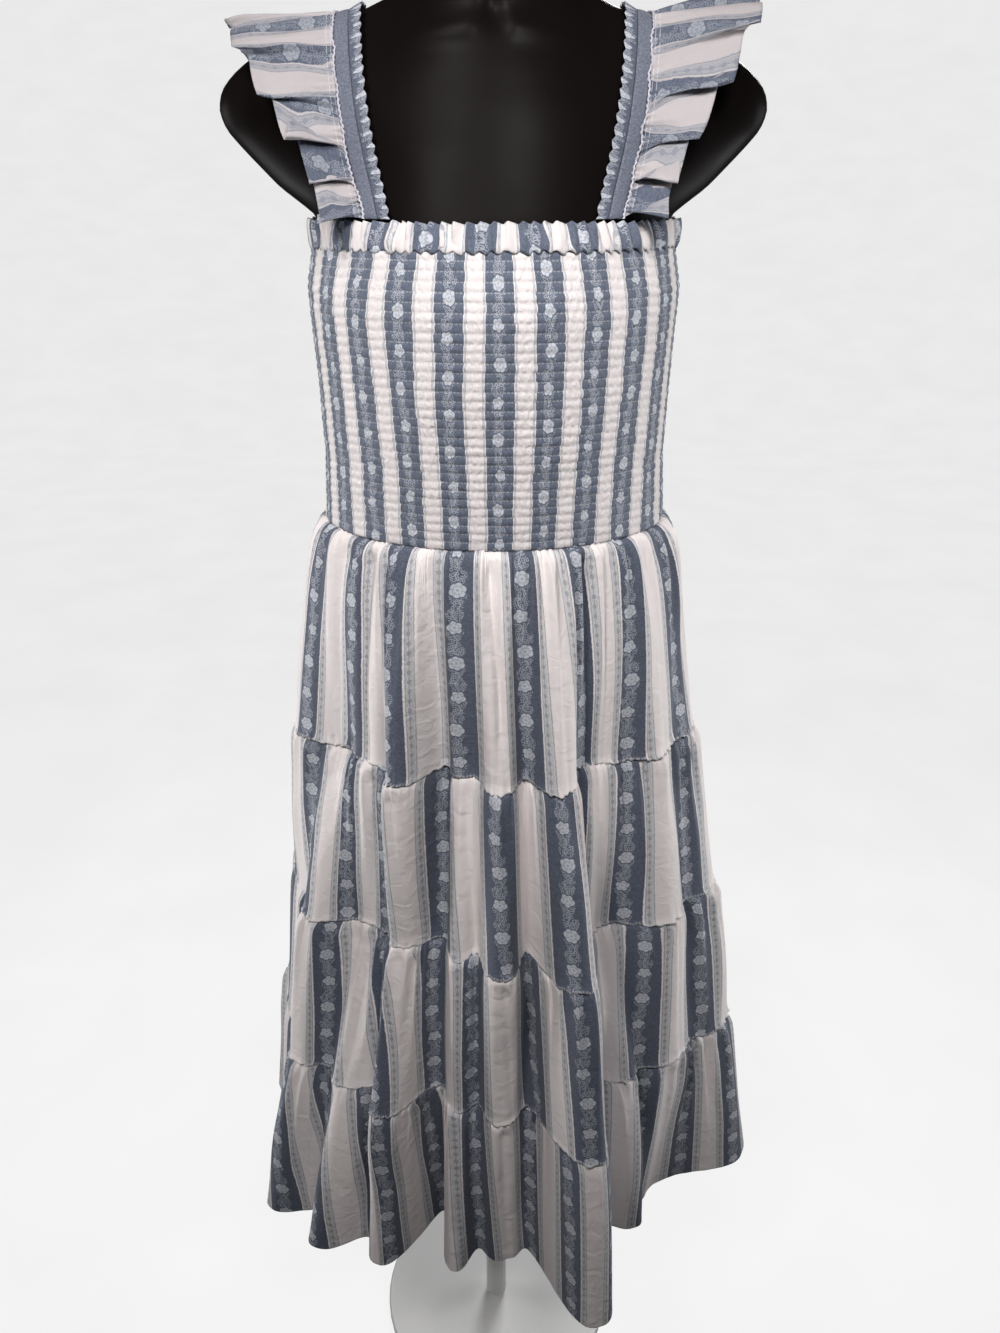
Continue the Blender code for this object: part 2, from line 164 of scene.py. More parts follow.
def ovalRadius(azimuth, halfWidth, front, back):
    depth = np.where(np.cos(azimuth) > 0, front, back)
    return 1 / np.hypot(np.sin(azimuth) / halfWidth, np.cos(azimuth) / depth)


joinPower = 8  # how tightly the trunk and the shoulder ends run together


def formRadius(azimuth, height):
    azimuth, height = np.broadcast_arrays(azimuth, height)
    height = np.clip(height, formRings[0, 0], formRings[-1, 0] - 1e-6)
    low = np.clip(np.searchsorted(formRings[:, 0], height, side="right") - 1, 0, len(formRings) - 2)
    rings = []
    for ring in (formRings[low], formRings[low + 1]):
        trunk = ovalRadius(azimuth, ring[..., 1], ring[..., 2], ring[..., 3])
        reach, depth = np.maximum(ring[..., 4], 1e-4), np.maximum(ring[..., 5], 1e-4)
        wing = ovalRadius(azimuth, reach, depth, depth)
        rings.append((trunk**joinPower + wing**joinPower) ** (1 / joinPower))
    share = (height - formRings[low, 0]) / (formRings[low + 1, 0] - formRings[low, 0])
    return blendTo(rings[0], rings[1], share)


def bodiceRadius(azimuth, height):
    sizes = [np.interp(height, bodiceRings[:, 0], bodiceRings[:, i]) for i in (1, 2, 3)]
    return np.maximum(ovalRadius(azimuth, *sizes), formRadius(azimuth, height) + 0.001)


def skirtRadius(azimuth, height):
    azimuth, height = np.broadcast_arrays(azimuth, height)
    sizes = [np.interp(height, skirtRings[:, 0], skirtRings[:, i]) for i in (1, 2, 3)]
    radius = ovalRadius(azimuth, *sizes)
    for place, spread, *reaches in skirtFolds:
        turn = (np.degrees(azimuth) - place + 180) % 360 - 180
        reaches = [reach / 1000 for reach in reaches[::-1]]
        reach = np.interp(height, skirtRings[:, 0], reaches + [0.0])
        radius = radius + reach * np.exp(-np.abs(turn / spread) ** 3)
    return radius


def pairs(x, y):
    return np.stack(np.broadcast_arrays(x, y), -1)


def gatherTurn(run, pitch, uneven):  # turn of a wave that repeats every pitch, not quite evenly
    return 2 * math.pi * run / pitch + uneven


def arcLengths(points):
    steps = np.linalg.norm(np.diff(points, axis=0), axis=1)
    return np.concatenate([[0], np.cumsum(steps)])


def ringPoints(azimuth, radius, height):
    azimuth, radius, height = np.broadcast_arrays(azimuth, radius, height)
    return np.stack([radius * np.sin(azimuth), -radius * np.cos(azimuth), height], -1)


def panelEdges(count):  # 0 at a panel's two side seams, 1 away from them
    along = np.linspace(0, 1, count)
    steepness = 26  # so it takes a 26th of the panel's width
    return smoothStep(np.minimum(along, 1 - along) * steepness)


def clothMesh(name, points, flat, rows=None, thickness=clothThickness, flipped=False, blooms=None):
    # points is a grid of rows and columns, flat their places on the cut cloth in metres
    count = points.shape[:2]
    index = np.arange(count[0] * count[1]).reshape(count)
    quads = np.stack([index[:-1, :-1], index[1:, :-1], index[1:, 1:], index[:-1, 1:]], -1).reshape(-1, 4)
    if flipped:
        quads = quads[:, ::-1]
    mesh = bpy.data.meshes.new(name)
    mesh.from_pydata(points.reshape(-1, 3).tolist(), [], quads.tolist())
    corners = quads.reshape(-1)
    for layer, values in (("flatCloth", flat), ("sewnRows", rows), ("flowerPlace", blooms)):
        if values is not None:
            uv = mesh.uv_layers.new(name=layer)
            uv.data.foreach_set("uv", values.reshape(-1, 2)[corners].reshape(-1))
    mesh.shade_smooth()
    piece = bpy.data.objects.new(name, mesh)
    bpy.context.scene.collection.objects.link(piece)
    if thickness:
        shell = piece.modifiers.new("cloth thickness", "SOLIDIFY")
        shell.thickness = thickness
        shell.offset = -1
    return piece


def flowerPlaces(points, flat):
    # flat, but with the real distance from the middle of the nearest blue stripe
    places = np.array(flat)
    repeat = cottonLook["repeatMm"] / 1000
    for row in range(len(points)):
        run = arcLengths(points[row])
        across = np.maximum.accumulate(flat[row, :, 0])
        places[row, :, 0] = run - np.interp(np.round(across / repeat) * repeat, across, run)
    return places


def dress(piece, material, node):  # what each piece that stands for a solid gets
    piece.data.materials.append(material)
    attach(piece, "root")
    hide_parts(node)


# Materials

def linearColour(code):  # sRGB hex to the linear values of a socket
    channels = [int(code[i:i + 2], 16) / 255 for i in (1, 3, 5)]
    return [c / 12.92 if c <= 0.04045 else ((c + 0.055) / 1.055) ** 2.4 for c in channels] + [1.0]


def addNode(tree, kind, inputs=(), out=0, **settings):  # kind is "Bump", or "Math ADD" with an operation
    kind, *operation = kind.split()
    node = tree.nodes.new("ShaderNode" + kind)
    if operation:
        node.operation = operation[0]
    for key, value in settings.items():
        setattr(node, key, value)
    for key, value in inputs.items() if isinstance(inputs, dict) else enumerate(inputs):
        if isinstance(value, bpy.types.NodeSocket):
            tree.links.new(value, node.inputs[key])
        elif value is not None:
            node.inputs[key].default_value = value
    return node.outputs[out] if node.outputs else node


def newMaterial(name):
    made = bpy.data.materials.new(name)
    made.use_nodes = True
    made.node_tree.nodes.clear()
    return made, made.node_tree


cottonLook = {
    "cream": "#E8E1E0",
    "blue": "#4E5565",
    "blueWorn": "#666C7A",
    "flower": "#BDC1C9",
    "border": "#CDCBCD",
    "hairline": "#6F7784",
    "thread": "#DAD9DA",
    "repeatMm": 60.0,       # blue stripe, border, cream stripe, border
    "blueHalfMm": 12.6,
    "borderMm": 7.8,
    "edgeSwayMm": 1.1,      # the stripes' edges aren't quite straight
    "twigMm": 3.9,          # the border's row of ticks, from the edge of the blue
    "tickMm": 1.25,
    "tickPitchMm": 8.4,
    "inkLineMm": 0.25,
    "lineTone": 0.6,
    "fringeMm": 2.4,        # lace to both sides of the ticks
    "flowerPitchMm": 31.5,
    "flowerRadiusMm": 6.0,
    "flowerOffsetMm": 1.2,  # off the middle of the blue
    "flowerLeanMm": 1.4,    # to and fro about that line
    "petals": 6.0,          # every other flower has one less
    "heartRingMm": 3.2,
    "heartMm": 1.1,
    "drawnTone": 0.42,      # how much fainter the lines in a flower are
    "stemHalfMm": 0.45,
    "stemSwingMm": 2.1,
    "stemTone": 0.6,
    "sprigMm": 6.2,
    "laceTone": 0.55,
    "laceCellMm": 2.5,
    "stripeStepMm": 11.0,   # from one blue stripe to the next the flowers are so much higher
    "laceStepMm": 17.0,     # and the laced cells so much further along, so that stripes differ
    "weaveMm": 0.8,         # real threads are 0.3 mm apart, drawn coarser so that they show
    "crumpleMm": 12.0,
    "stitchMm": 3.0,
    "roughness": 0.88,
}


def printedCotton(name, threadAndSeamHighlight=0, puckered=0, plain=False, blueHalf=0, roundFlowers=False, **colours):
    # Plain-woven cotton with a printed stripe: dull, with a faint fuzz and slightly uneven ink
    look = dict(cottonLook, **colours)
    look["blueHalfMm"] += blueHalf
    look["borderMm"] -= blueHalf
    made, tree = newMaterial(name)
    add = partial(addNode, tree)
    inks = {"out": 2, "data_type": "RGBA"}
    toMm = (1000, 1000, 1000)
    flat = add("UVMap", uv_map="flatCloth")
    inMm = add("VectorMath MULTIPLY", [flat, toMm])
    wobble = add("TexNoise", {"Vector": inMm, "Scale": 0.35, "Detail": 2.0})
    sway = add("Math MULTIPLY_ADD", [wobble, look["edgeSwayMm"], -look["edgeSwayMm"] / 2])
    across = add("SeparateXYZ", [inMm])
    along = across.node.outputs[1]
    swayed = add("Math ADD", [across, sway])
    half = look["repeatMm"] / 2
    offset = add("Math WRAP", [swayed, half, -half])
    distance = add("Math ABSOLUTE", [offset])
    repeats = add("Math DIVIDE", [across, look["repeatMm"]])
    stripe = add("Math ROUND", [repeats])
    lacePlace = inMm
    if roundFlowers:  # cloth that hangs in folds: the flowers keep their shape
        bloomMap = add("UVMap", uv_map="flowerPlace")
        bloomMm = add("VectorMath MULTIPLY", [bloomMap, toMm])
        offset = add("SeparateXYZ", [bloomMm])
        laceAcross = add("Math MULTIPLY_ADD", [stripe, look["laceStepMm"], offset])
        lacePlace = add("CombineXYZ", [laceAcross, along, 0.0])

    # Flower heads down the blue, a little off its middle
    pitch = look["flowerPitchMm"]
    shifted = add("Math MULTIPLY_ADD", [stripe, look["stripeStepMm"], along])
    up = add("Math WRAP", [shifted, pitch / 2, -pitch / 2])
    bloomsUp = add("Math DIVIDE", [shifted, pitch])
    bloom = add("Math ROUND", [bloomsUp])
    odd = add("Math PINGPONG", [bloom, 1.0])
    leanTurn = add("Math MULTIPLY_ADD", [bloom, 2.4, stripe])
    lean = add("Math SINE", [leanTurn])
    fromMiddle = add("Math ADD", [offset, look["flowerOffsetMm"]])
    side = add("Math MULTIPLY_ADD", [lean, -look["flowerLeanMm"], fromMiddle])
    widened = add("Math MULTIPLY", [side, 0.86])
    spot = add("CombineXYZ", [widened, up, 0.0])
    reach = add("VectorMath LENGTH", [spot], out=1)
    angle = add("Math ARCTAN2", [up, side])
    lobes = add("Math MULTIPLY_ADD", [odd, -1.0, look["petals"]])
    turned = add("Math MULTIPLY_ADD", [angle, lobes, bloom])
    lobe = add("Math COSINE", [turned])
    swing = add("Math MULTIPLY_ADD", [odd, 0.25, 0.35])
    size = add("Math MULTIPLY_ADD", [odd, -0.8, look["flowerRadiusMm"]])
    rim = add("Math MULTIPLY_ADD", [lobe, swing, size])
    inside = add("Math SUBTRACT", [rim, reach])
    petals = add("MapRange", [inside, -0.35, 0.35, 0.0, 1.0])
    ringAt = add("Math MULTIPLY_ADD", [lobe, -0.5, reach])
    ring = add("Math COMPARE", [ringAt, look["heartRingMm"], 0.38])
    heart = add("Math LESS_THAN", [reach, look["heartMm"]])
    veins = add("Math LESS_THAN", [lobe, -0.80])
    outer = add("Math GREATER_THAN", [reach, look["heartRingMm"]])
    outerVeins = add("Math MULTIPLY", [veins, outer])
    centre = add("Math MAXIMUM", [ring, heart])
    drawn = add("Math MAXIMUM", [outerVeins, centre])
    drawnFaint = add("Math MULTIPLY_ADD", [drawn, -look["drawnTone"], 1.0])
    head = add("Math MULTIPLY", [petals, drawnFaint])

    # A winding stem and faint laced sprigs between the heads
    stemTurn = add("Math MULTIPLY", [shifted, 2 * math.pi / pitch * 2])
    curve = add("Math SINE", [stemTurn])
    stemAt = add("Math MULTIPLY_ADD", [curve, look["stemSwingMm"], side])
    stem = add("Math COMPARE", [stemAt, 0.0, look["stemHalfMm"]])
    stemFaint = add("Math MULTIPLY", [stem, look["stemTone"]])
    laceScale = {"Vector": lacePlace, "Scale": 1 / look["laceCellMm"], "Randomness": 0.9}
    cells = add("TexVoronoi", laceScale, voronoi_dimensions="2D")
    curls = add("Math COMPARE", [cells, 0.40, 0.12])
    sprigWidth = add("Math MULTIPLY_ADD", [curve, 1.6, look["sprigMm"]])
    fromLine = add("Math ABSOLUTE", [side])
    nearStem = add("Math LESS_THAN", [fromLine, sprigWidth])
    laced = add("Math MULTIPLY", [curls, nearStem])
    lacedFaint = add("Math MULTIPLY", [laced, look["laceTone"]])
    clear = add("MapRange", [inside, -1.3, -0.9, 1.0, 0.0])
    sprig = add("Math MAXIMUM", [stemFaint, lacedFaint])
    sprigClear = add("Math MULTIPLY", [sprig, clear])
    motif = add("Math MAXIMUM", [head, sprigClear])

    # Ink on the blue is uneven, as printed cloth is
    colour = {key: linearColour(code) for key, code in look.items() if isinstance(code, str)}
    mottle = add("TexNoise", {"Vector": inMm, "Scale": 0.55, "Detail": 4.0, "Roughness": 0.7})
    worn = add("MapRange", [mottle, 0.40, 0.68, 0.0, 1.0])
    cloth = add("Mix", {0: worn, 6: colour["blue"], 7: colour["blueWorn"]}, **inks)
    if not plain:
        figured = add("Mix", {0: motif, 6: cloth, 7: colour["flower"]}, **inks)
        edge, line = look["blueHalfMm"], look["inkLineMm"]
        twig, rimMm = edge + look["twigMm"], edge + look["borderMm"]
        twigAt = add("Math COMPARE", [distance, twig, 0.28])
        tickUp = add("Math WRAP", [along, look["tickPitchMm"] / 2, -look["tickPitchMm"] / 2])
        tickLow = add("Math MULTIPLY", [tickUp, 0.6])
        tickAcross = add("Math SUBTRACT", [distance, twig])
        tickSpot = add("CombineXYZ", [tickAcross, tickLow, 0.0])
        tickReach = add("VectorMath LENGTH", [tickSpot], out=1)
        tick = add("Math LESS_THAN", [tickReach, look["tickMm"]])
        fringeCells = add("Math COMPARE", [cells, 0.42, 0.10])
        fringeBand = add("Math COMPARE", [tickAcross, 0.0, look["fringeMm"]])
        fringe = add("Math MULTIPLY", [fringeCells, fringeBand])
        fringeFaint = add("Math MULTIPLY", [fringe, look["laceTone"]])
        hair = add("Math COMPARE", [distance, edge + 1.6, line])
        hairFar = add("Math COMPARE", [distance, rimMm - 0.4, line])
        farLines = add("Math MAXIMUM", [hairFar, twigAt])
        hairs = add("Math MAXIMUM", [hair, farLines])
        ticked = add("Math MAXIMUM", [hairs, tick])
        lines = add("Math MAXIMUM", [ticked, fringeFaint])
        linesFaint = add("Math MULTIPLY", [lines, look["lineTone"]])
        lined = add("Mix", {0: linesFaint, 6: colour["border"], 7: colour["hairline"]}, **inks)
        pastBorder = add("MapRange", [distance, rimMm - 0.2, rimMm + 0.3, 0.0, 1.0])
        pale = add("Mix", {0: pastBorder, 6: lined, 7: colour["cream"]}, **inks)
        whiteLine = add("Math COMPARE", [distance, edge + 0.5, 0.5])
        paleLined = add("Mix", {0: whiteLine, 6: pale, 7: colour["cream"]}, **inks)
        pastBlue = add("MapRange", [distance, edge - 0.2, edge + 0.2, 0.0, 1.0])
        cloth = add("Mix", {0: pastBlue, 6: figured, 7: paleLined}, **inks)

    # Weave and a soft crumple as relief
    waves = add("VectorMath MULTIPLY", [inMm, (2 * math.pi / look["weaveMm"],) * 3])
    threads = add("VectorMath SINE", [waves])
    warp = add("SeparateXYZ", [threads])
    weave = add("Math ADD", [warp, warp.node.outputs[1]])
    crumple = add("TexNoise", {
        "Vector": inMm, "Scale": 1.02 / look["crumpleMm"],
        "Detail": 3.0, "Roughness": 0.55, "Distortion": 0.6,
    })
    relief = add("Bump", {"Strength": 0.5, "Distance": 0.003, "Height": crumple})
    relief = add("Bump", {"Strength": 0.10, "Distance": 0.0002, "Height": weave, "Normal": relief})
    if threadAndSeamHighlight:  # dashes of thread that the gathers hide here and there; along the tiers' seams the line is partly stitching and partly a painted highlight on the seam's ridge
        rowMap = add("UVMap", uv_map="sewnRows")
        rowX = add("SeparateXYZ", [rowMap])
        toRow = add("Math PINGPONG", [rowX.node.outputs[1], 0.5])
        row = add("MapRange", [toRow, 0.045, 0.10, 1.0, 0.0])
        stitchTurn = add("Math PINGPONG", [rowX, look["stitchMm"] / 2000])
        dash = add("Math GREATER_THAN", [stitchTurn, 0.0004])
        dashes = add("Math MULTIPLY", [row, dash])
        catching = add("TexNoise", {"Vector": rowMap, "Scale": 55.0, "Detail": 3.0})
        showing = add("MapRange", [catching, 0.38, 0.62, 0.25 * threadAndSeamHighlight, threadAndSeamHighlight])
        stitchesAndSeamHighlight = add("Math MULTIPLY", [dashes, showing])
        cloth = add("Mix", {0: stitchesAndSeamHighlight, 6: cloth, 7: colour["thread"]}, **inks)
    if puckered:
        pleatAt = add("VectorMath MULTIPLY", [rowMap, (620.0, 1.6, 1.0)])
        pleats = add("TexNoise", {"Vector": pleatAt, "Scale": 1.0, "Detail": 2.0, "Roughness": 0.5})
        fold = {"Strength": puckered, "Distance": 0.0012, "Height": pleats, "Normal": relief}
        relief = add("Bump", fold)
    shader = add("BsdfPrincipled", {
        "Base Color": cloth, "Roughness": look["roughness"], "Normal": relief,
        "Sheen Weight": 0.12, "Sheen Roughness": 0.5, "Specular IOR Level": 0.25,
    })
    add("OutputMaterial", [shader])
    return made


# Spun cotton-wrapped thread: matt, with a fine fuzz
threadLook = {
    "name": "cotton thread", "colour": "#BDBAC4",
    "roughness": 0.8, "specular": 0.2, "ior": 1.5,
    "grainMm": 10 / 9, "detail": 2.0, "strength": 0.3, "reliefMm": 0.3, "scuffs": False,
}
# Blow-moulded polyethylene, black: a soft gloss with a faint orange peel, scuffed in handling
plasticLook = {
    "name": "moulded polyethylene", "colour": "#110D0D",
    "roughness": 0.37, "specular": 0.032, "ior": 1.51,
    "grainMm": 9.0, "detail": 2.0, "strength": 0.05, "reliefMm": 0.6, "scuffs": True,
}
# Powder coat on steel: pale, half matt, with the fine bumps that baked powder leaves
steelLook = {
    "name": "powder-coated steel", "colour": "#F0F0EF",
    "roughness": 0.55, "specular": 0.5, "ior": 1.5,
    "grainMm": 0.9, "detail": 1.0, "strength": 0.12, "reliefMm": 0.2, "scuffs": False,
}


def grainedSurface(look):
    made, tree = newMaterial(look["name"])
    add = partial(addNode, tree)
    place = add("TexCoord", out=3)
    scale, height = 1000 / look["grainMm"], look["reliefMm"] / 1000
    grain = add("TexNoise", {"Vector": place, "Scale": scale, "Detail": look["detail"]})
    relief = add("Bump", {"Strength": look["strength"], "Distance": height, "Height": grain})
    rough = look["roughness"]
    if look["scuffs"]:
        scuff = add("TexNoise", {"Vector": place, "Scale": 14.0, "Detail": 5.0})
        rough = add("MapRange", [scuff, 0.3, 0.75, rough - 0.04, rough + 0.08])
    shader = add("BsdfPrincipled", {
        "Base Color": linearColour(look["colour"]), "Roughness": rough, "IOR": look["ior"],
        "Specular IOR Level": look["specular"], "Normal": relief,
    })
    add("OutputMaterial", [shader])
    return made


stripedCotton = printedCotton("printed cotton")
# This copy's cream is darker: painted shade that tones down the shirred bodice where the lights strike it
shadedShirredCotton = printedCotton(
    "printed cotton, shirred, painted shade", threadAndSeamHighlight=0.42, puckered=0.7, blueHalf=4.4,
    cream="#DCD6D6", blue="#545C6B", blueWorn="#697080",
)
# Darker cream, border and flowers: painted shade on the ruffles, which face up into the lights
shadedRuffleCotton = printedCotton(
    "printed cotton, gathered, painted shade", threadAndSeamHighlight=0.8, puckered=0.12, roundFlowers=True,
    cream="#B1ABAD", border="#9C9BA0", flower="#91969F",
)
# Along each seam's lip its pale line is partly stitching and partly a painted highlight on the ridge
tierCotton = printedCotton("printed cotton, hanging", threadAndSeamHighlight=0.6, roundFlowers=True)
# Darker cream: painted shade on the fluted band, which the lights strike strongly
shadedBandCotton = printedCotton(
    "printed cotton, fluted, painted shade", blueHalf=2.8, cream="#D6D0D0", blue="#525A69", blueWorn="#697080",
)
blueCotton = printedCotton("blue printed cotton", plain=True, blue="#5B6170", blueWorn="#7C808D")
cottonThread = grainedSurface(threadLook)
blackPlastic = grainedSurface(plasticLook)
paleSteel = grainedSurface(steelLook)
print("materials made")


# Dress form and stand

formSettings = {
    "around": 144, "up": 150,
    "blur": 0.0045,  # how far one ring runs into the next
    "notch": 0.0045, "notchHeight": 1.432,  # the hollow between the collar bones
    "bone": 0.0022, "boneHeight": 1.424, "boneFall": 0.00016,  # the collar bones fall so much a degree
    "edgeRound": 0.006, "inset": 0.0003,
}


def makeForm():
    s = formSettings
    low, high = formRings[0, 0], formRings[-1, 0]
    heights = np.linspace(low, high, s["up"])
    azimuths = np.linspace(0, 2 * math.pi, s["around"], endpoint=False)
    rise = heights[:, None]
    taps = np.linspace(-2, 2, 9)
    weights = np.exp(-taps**2)
    near = [formRadius(azimuths[None, :], np.clip(rise + tap * s["blur"], low, high)) for tap in taps]
    radius = sum(weight * ring for weight, ring in zip(weights, near)) / weights.sum()
    turn = np.degrees(np.minimum(azimuths, 2 * math.pi - azimuths))[None, :]
    notch = s["notch"] * np.exp(-(turn / 8) ** 2 - ((rise - s["notchHeight"]) / 0.011) ** 2)
    bone = s["bone"] * np.exp(-((rise - s["boneHeight"] + s["boneFall"] * turn) / 0.006) ** 2)
    bone = bone * smoothStep((turn - 6) / 10) * smoothStep((66 - turn) / 20)
    radius = radius - notch + bone
    inward = 1 - np.clip(np.minimum(heights - low, high - heights)[:, None] / s["edgeRound"], 0, 1)
    radius = radius - s["edgeRound"] * (1 - np.sqrt(1 - inward ** 2)) - s["inset"]
    points = ringPoints(azimuths[None, :], radius, rise)
    count = points.shape[:2]
    verts = points.reshape(-1, 3).tolist()
    index = np.arange(len(verts)).reshape(count)
    ahead = np.roll(index, -1, 1)
    quads = np.stack([index[:-1], ahead[:-1], ahead[1:], index[1:]], -1).reshape(-1, 4).tolist()
    mesh = bpy.data.meshes.new("formTorso")
    mesh.from_pydata(verts, [], quads + [index[0, ::-1].tolist(), index[-1].tolist()])
    mesh.shade_smooth()
    mesh.set_sharp_from_angle(angle=math.radians(50))
    piece = bpy.data.objects.new("formTorso", mesh)
    bpy.context.scene.collection.objects.link(piece)
    dress(piece, blackPlastic, "form_torso")


makeForm()
for node in ("stand_base", "stand_pole"):
    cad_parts[node].data.materials.clear()
    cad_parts[node].data.materials.append(paleSteel)
print("form and stand made")


def panelRun(azimuth, height):  # metres along a bodice panel at that height, and half of them
    run = arcLengths(ringPoints(azimuth, bodiceRadius(azimuth, height), height))[None, :]
    return run, run[0, -1] / 2


# Bodice, with a puff of cloth between each two rows of elastic thread

bodiceSettings = {
    "rows": 32, "rowSteps": {"front": 5, "back": 4}, "columns": 230,
    "wall": 0.0013, "cloth": 0.0006, "puff": 0.0010, "pinch": 0.00050, "pinchPitch": 0.0062,
    "swell": 0.0004,                    # unevenness over several puffs
    "jitter": 0.0013, "drift": 0.0022,  # how far the print is pulled about, at a puff and over several
    "gather": 1.68, "stripeShift": {"front": -0.0075, "back": 0.020},
    "sideGap": 0.00015 / 0.145,         # half the gap at a side seam, in radians
    "measuredAt": 1.17,                 # the height that the width is taken at
    "cutWider": 1.45, "cutLonger": 1.05,
}


def makeBodice(half):
    s = bodiceSettings
    azimuth = np.radians(panelStarts[half]) + np.linspace(0, math.pi, s["columns"] + 1)
    azimuth[0] += s["sideGap"]
    azimuth[-1] -= s["sideGap"]
    top, bottom = seams["bodiceTop"], seams["waist"] + pieceGap
    steps = s["rows"] * s["rowSteps"][half]
    phase = np.linspace(0, s["rows"], steps + 1)[:, None]
    height = blendTo(top, bottom, phase / s["rows"])
    run, middle = panelRun(azimuth, s["measuredAt"])
    row = np.floor(phase)
    bulge = np.sin(math.pi * np.clip(phase - row, 0, 1)) ** 0.7
    bulge = bulge * (0.85 + 0.35 * softNoise(run / 0.016, row * 3.7, 11))
    pinchTurn = gatherTurn(run, s["pinchPitch"], 2.2 * softNoise(run / 0.03, phase * 0.8, 12))
    pinch = np.cos(pinchTurn + row * 1.9)
    edge = panelEdges(s["columns"] + 1)[None, :]
    swell = s["swell"] * edge * softNoise(run / 0.03, phase * 0.2, 13)
    radius = bodiceRadius(azimuth[None, :], height) + s["wall"] + s["puff"] * bulge
    radius = radius + s["pinch"] * edge * pinch * (1.1 - bulge * 0.7) + swell
    points = ringPoints(azimuth[None, :], radius, height)
    jitter = s["jitter"] * softNoise(run / 0.007, row * 5.3 + 0.4 * bulge, 14)
    jitter = jitter + s["drift"] * softNoise(run / 0.06, phase * 0.13, 15)
    across = (run - middle) * s["gather"] + jitter + s["stripeShift"][half]
    flat = pairs(across, -height * 1.15)
    piece = clothMesh(f"bodice{half.title()}", points, flat, pairs(run, phase), thickness=s["cloth"])
    dress(piece, shadedShirredCotton, f"bodice_{half}")


# Neck band: a gathered heading that stands above the first elastic row

bandSettings = {
    "columns": 340, "rows": 12, "stand": 0.0014, "clear": 0.0023, "fluteMm": 8.5, "flute": 0.0023,
    "overlap": 0.0018, "cloth": 0.0008,
    "rimDip": 0.0011, "rimWaver": 0.0007,  # the top edge
    "footDip": 0.0012, "footWaver": 0.0009,  # the edge at the elastic
    "fineMm": 3.7, "fine": 0.0004,
    "gather": 1.68, "stripeShift": {"front": 0.0145, "back": -0.010},
    "measuredAt": 1.29, "cutWider": 1.45, "cutHeight": 0.021,
}


def makeBand(half):
    s = bandSettings
    azimuth = np.radians(panelStarts[half]) + np.linspace(0.001, math.pi - 0.001, s["columns"] + 1)
    top, bottom = seams["bandTop"], seams["bodiceTop"] - s["overlap"]
    share = np.linspace(0, 1, s["rows"] + 1)[:, None]  # 0 at the top edge
    run, middle = panelRun(azimuth, s["measuredAt"])
    edge = panelEdges(s["columns"] + 1)[None, :]
    turn = gatherTurn(run, s["fluteMm"] / 1000, 3.4 * softNoise(run / 0.018, share * 0.4, 21))
    flute = np.sin(turn + 0.6 * np.sin(turn))
    uneven = 0.8 + 0.7 * softNoise(run / 0.014, share * 1.2, 22)
    rim = s["rimDip"] * (flute - 1) + s["rimWaver"] * softNoise(run / 0.02, 0.3, 24) - 0.0004
    foot = s["footDip"] * np.cos(turn) + s["footWaver"] * softNoise(run / 0.008, 0.6, 26)
    height = blendTo(top, bottom, share) + (1 - share) * edge * rim
    height = height + share**4 * edge * foot
    roll = np.sin(math.pi * np.clip(share * 0.92 + 0.08, 0, 1)) ** 0.6
    pinched = 1 - 0.65 * share**3
    radius = bodiceRadius(azimuth[None, :], height) + s["clear"] + s["stand"] * roll
    radius = radius + s["flute"] * edge * uneven * (1 + flute) * pinched
    fineTurn = gatherTurn(run, s["fineMm"] / 1000, 4 * softNoise(run / 0.01, 0.2, 25))
    radius = radius + s["fine"] * np.cos(fineTurn) * smoothStep(share * 2 - 1)
    points = ringPoints(azimuth[None, :], radius, height)
    shift = 0.0036 * softNoise(run / 0.012, share * 1.5, 23) + 0.0018 * np.cos(turn)
    across = (run - middle) * s["gather"] + s["stripeShift"][half] + shift
    flat = pairs(across, share * s["cutHeight"])
    piece = clothMesh(f"neckBand{half.title()}", points, flat, thickness=s["cloth"])
    dress(piece, shadedBandCotton, f"neck_band_{half}")


for half in panelStarts:
    makeBodice(half)
    makeBand(half)
print("bodice and neck band made")


# Skirt tiers, each gathered into the one above

